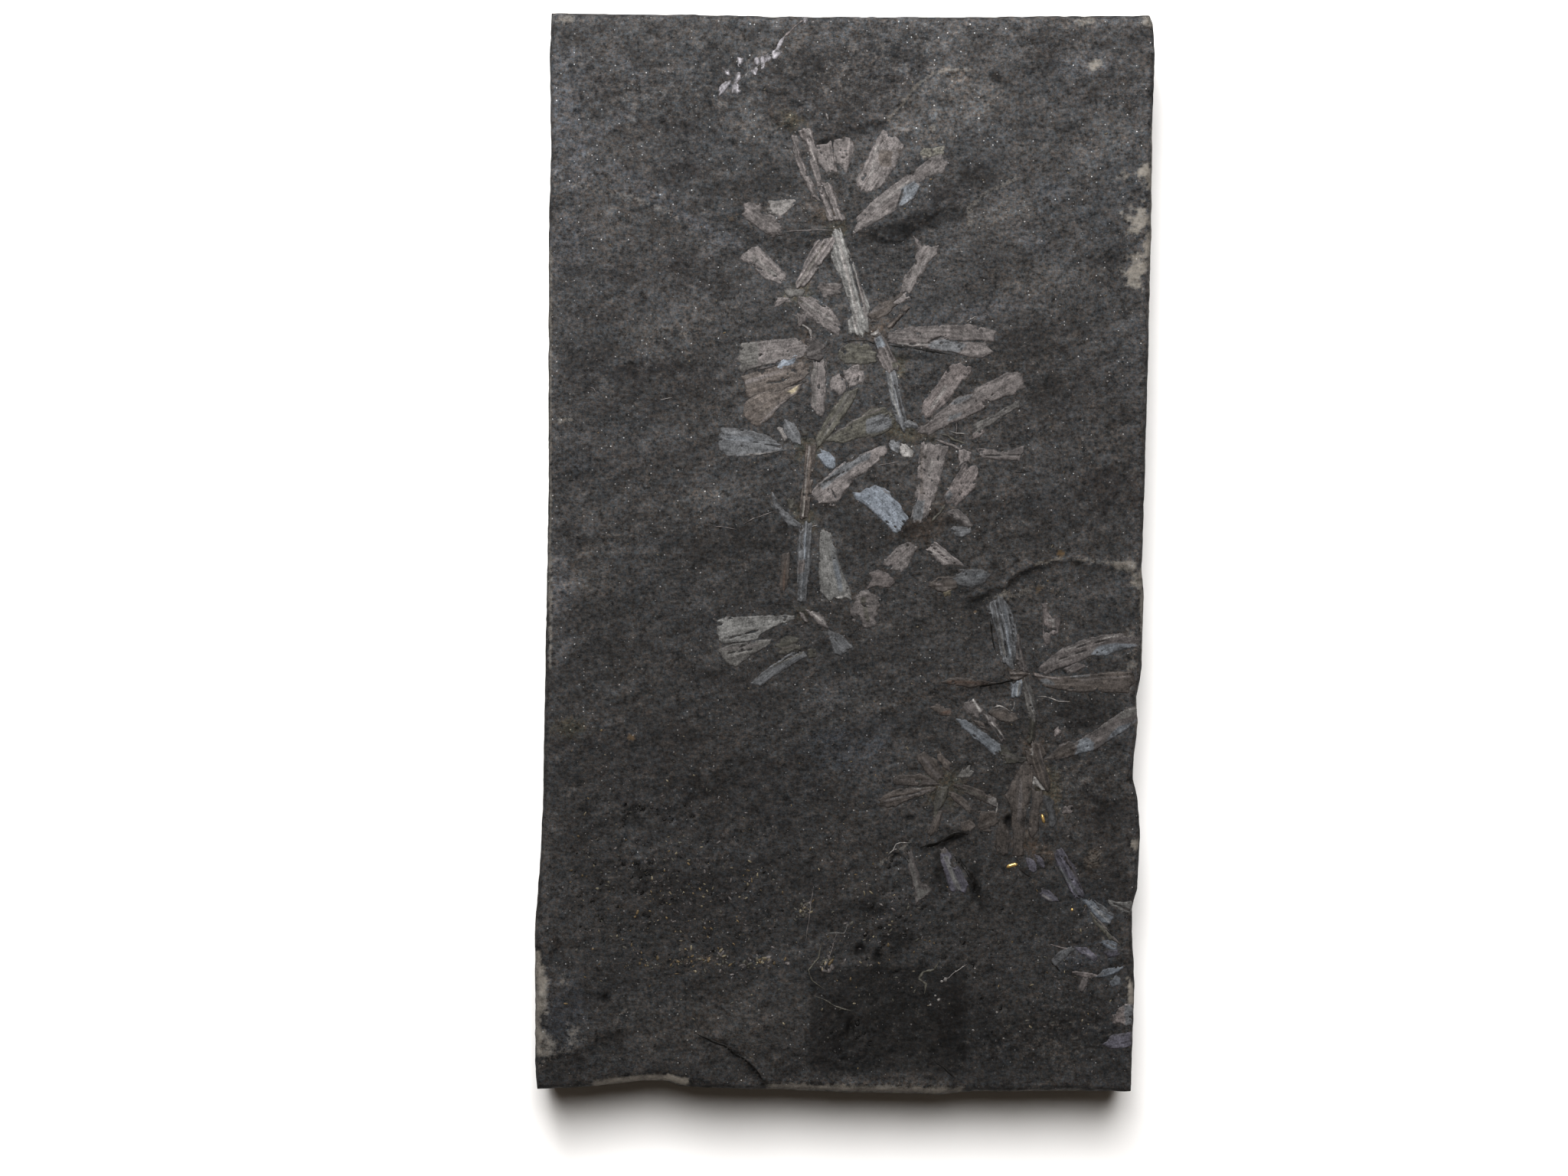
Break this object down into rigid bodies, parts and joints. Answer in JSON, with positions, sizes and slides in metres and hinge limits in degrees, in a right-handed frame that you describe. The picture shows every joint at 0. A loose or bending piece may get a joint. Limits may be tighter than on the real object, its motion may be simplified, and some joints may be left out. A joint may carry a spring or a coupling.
{
  "type": "fossil fern plate",
  "caption": "Rectangular plate of dark grey siltstone lying on its flat back, with thin pale fossil shoots of whorled wedge leaves in low relief on its split face.",
  "frame": {"origin": "on the flat back, under the middle of the plate's outline", "axes": "+Z out of the fossil face, +Y towards the plate's upper edge as the shoots are seen, +X to the right of the face"},
  "size_m": [0.0812, 0.1419, 0.0136],
  "materials": {
    "siltstone": "matte"
  },
  "bodies": {
    "root": {"fossil_slab": "siltstone"}
  },
  "joints": []
}
